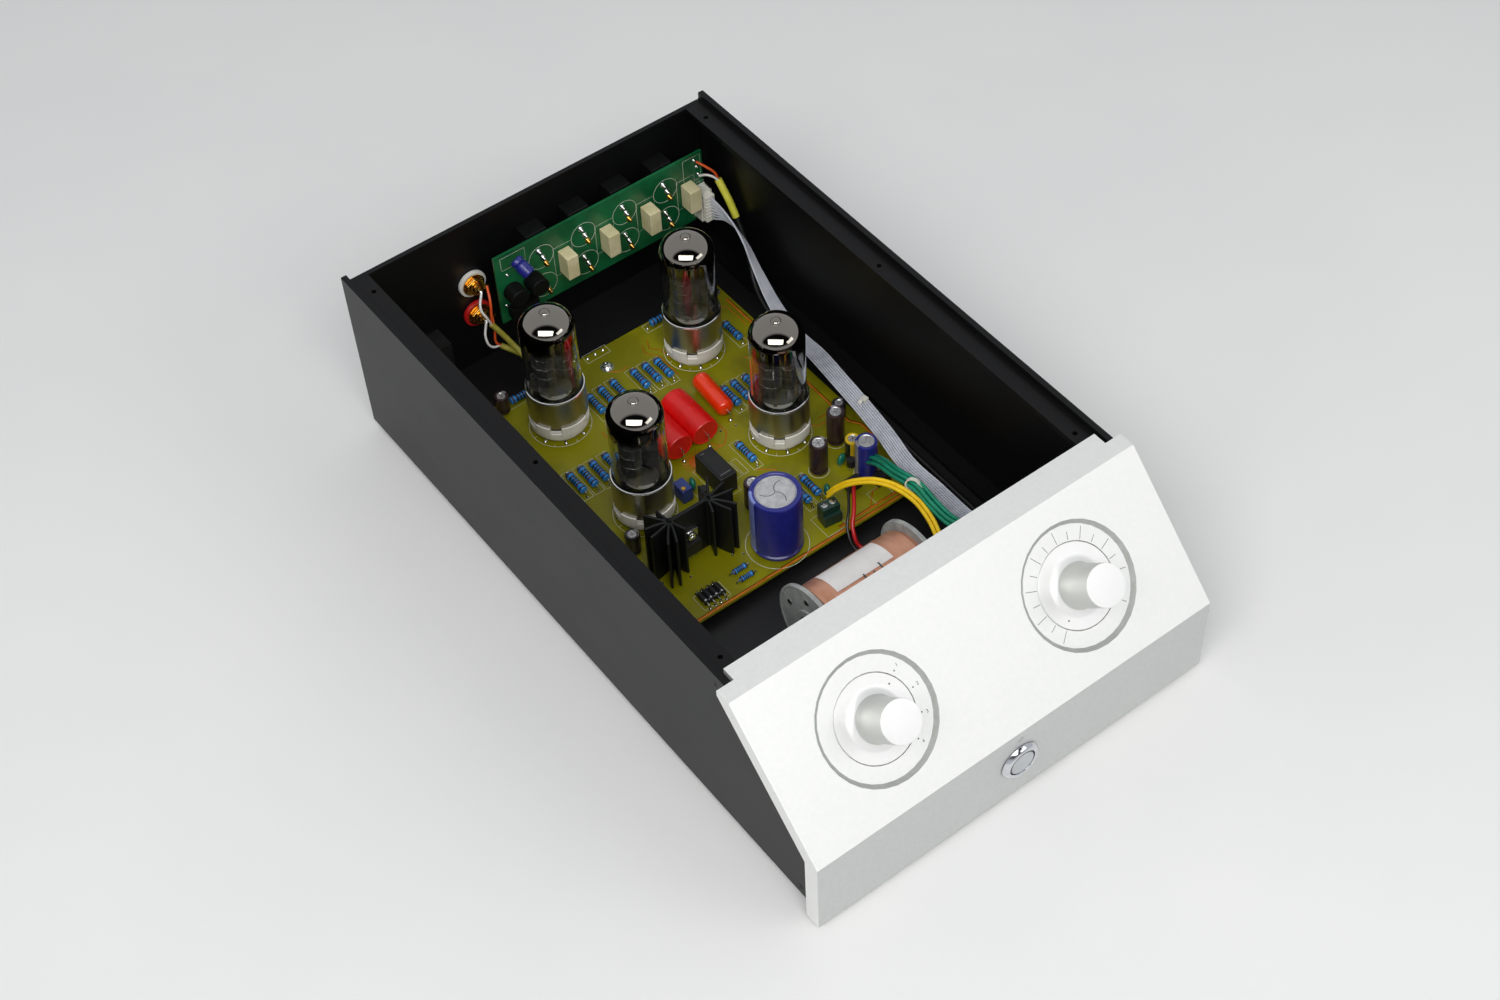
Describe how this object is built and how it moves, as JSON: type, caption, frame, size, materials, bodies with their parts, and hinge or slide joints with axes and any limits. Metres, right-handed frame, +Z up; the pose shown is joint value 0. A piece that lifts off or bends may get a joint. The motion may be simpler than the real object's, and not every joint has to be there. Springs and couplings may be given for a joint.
{
  "type": "tube amplifier",
  "caption": "Open-topped valve amplifier: black side panels, slanted silver front with dials and a power button, octal tubes on an internal board, rear phono jacks and mains inlet.",
  "frame": {"origin": "middle of the footprint at the height of the soles of the feet", "axes": "+Z up, the front panel faces -Y, +X to the right seen from the front"},
  "size_m": [0.249, 0.4272, 0.117],
  "materials": {
    "black_anodised": "fine satin black anodising",
    "black_steel": "powder-coated black",
    "front_aluminium": "fine bead-blasted, clear anodised",
    "turned_aluminium": "turned and clear anodised",
    "plated_steel": "zinc plated",
    "copper_foil": "copper foil, slightly dulled",
    "core_steel": "varnished strip steel",
    "main_laminate": "olive solder mask over copper",
    "input_laminate": "green solder mask",
    "socket_ceramic": "unglazed white ceramic",
    "tube_metal": "bright metal shell",
    "tube_glass": "clear blown glass with a dark getter dome",
    "electrode_metal": "carbonised nickel",
    "capacitor_sleeve": "shrink sleeve",
    "heatsink_black": "black anodised extrusion",
    "black_plastic": "moulded",
    "relay_cream": "moulded case",
    "gold_plate": "gold plated",
    "foot_rubber": "matt",
    "ribbon_grey": "parallel cores",
    "lead_black": "sleeved",
    "lead_olive": "woven sleeve",
    "lead_green": "stranded hook-up wire",
    "lead_yellow": "stranded hook-up wire",
    "lead_red": "stranded hook-up wire"
  },
  "bodies": {
    "chassis": {"left_side_panel": "black_anodised", "right_side_panel": "black_anodised", "rear_panel": "black_anodised", "bottom_plate": "black_steel", "transformer_bracket": "black_steel", "front_panel": "front_aluminium", "foot_rear_left": "foot_rubber", "foot_rear_right": "foot_rubber", "foot_front_left": "foot_rubber", "foot_front_right": "foot_rubber", "power_switch_housing": "turned_aluminium", "volume_potentiometer": "plated_steel", "selector_switch": "plated_steel", "transformer_coil_rear": "copper_foil", "transformer_coil_front": "copper_foil", "transformer_core": "core_steel", "main_board": "main_laminate", "input_board": "input_laminate", "tube_socket_rear_left": "socket_ceramic", "tube_socket_rear_right": "socket_ceramic", "tube_socket_front_left": "socket_ceramic", "tube_socket_front_right": "socket_ceramic", "reservoir_capacitor": "capacitor_sleeve", "heatsink": "heatsink_black", "mute_relay": "black_plastic", "mains_inlet": "black_plastic", "input_relay_1": "relay_cream", "input_jack_pair_1": "gold_plate", "input_relay_2": "relay_cream", "input_jack_pair_2": "gold_plate", "input_relay_3": "relay_cream", "input_jack_pair_3": "gold_plate", "input_relay_4": "relay_cream", "input_jack_pair_4": "gold_plate", "output_jack_left": "gold_plate", "output_jack_right": "gold_plate", "ribbon_cable": "ribbon_grey", "input_signal_cable": "lead_black", "output_lead_left": "lead_olive", "output_lead_right": "lead_olive", "volume_leads": "lead_green", "heater_leads": "lead_yellow", "high_voltage_leads": "lead_red"},
    "volume_dial": {"volume_knob": "turned_aluminium", "volume_shaft": "plated_steel"},
    "selector_dial": {"selector_knob": "turned_aluminium", "selector_shaft": "plated_steel"},
    "button": {"power_button": "turned_aluminium"},
    "tube_rear_left": {"tube_base_rear_left": "tube_metal", "tube_glass_rear_left": "tube_glass", "tube_electrodes_rear_left": "electrode_metal"},
    "tube_rear_right": {"tube_base_rear_right": "tube_metal", "tube_glass_rear_right": "tube_glass", "tube_electrodes_rear_right": "electrode_metal"},
    "tube_front_left": {"tube_base_front_left": "tube_metal", "tube_glass_front_left": "tube_glass", "tube_electrodes_front_left": "electrode_metal"},
    "tube_front_right": {"tube_base_front_right": "tube_metal", "tube_glass_front_right": "tube_glass", "tube_electrodes_front_right": "electrode_metal"}
  },
  "joints": [
    {"name": "volume_turn", "type": "hinge", "parent": "chassis", "child": "volume_dial", "pos_m": [0.063, -0.17885, 0.0853], "axis": [0, 0.7071, -0.7071], "range_deg": [0, 270]},
    {"name": "selector_turn", "type": "hinge", "parent": "chassis", "child": "selector_dial", "pos_m": [-0.063, -0.17885, 0.0853], "axis": [0, 0.7071, -0.7071], "range_deg": [0, 90]},
    {"name": "power_press", "type": "slide", "parent": "chassis", "child": "button", "axis": [0, 1, 0], "range_m": [0, 0.0025], "stiffness_N_per_m": 800},
    {"name": "rear_left_tube_pull", "type": "slide", "parent": "chassis", "child": "tube_rear_left", "axis": [0, 0, 1], "range_m": [0, 0.016]},
    {"name": "rear_right_tube_pull", "type": "slide", "parent": "chassis", "child": "tube_rear_right", "axis": [0, 0, 1], "range_m": [0, 0.016]},
    {"name": "front_left_tube_pull", "type": "slide", "parent": "chassis", "child": "tube_front_left", "axis": [0, 0, 1], "range_m": [0, 0.016]},
    {"name": "front_right_tube_pull", "type": "slide", "parent": "chassis", "child": "tube_front_right", "axis": [0, 0, 1], "range_m": [0, 0.016]}
  ]
}
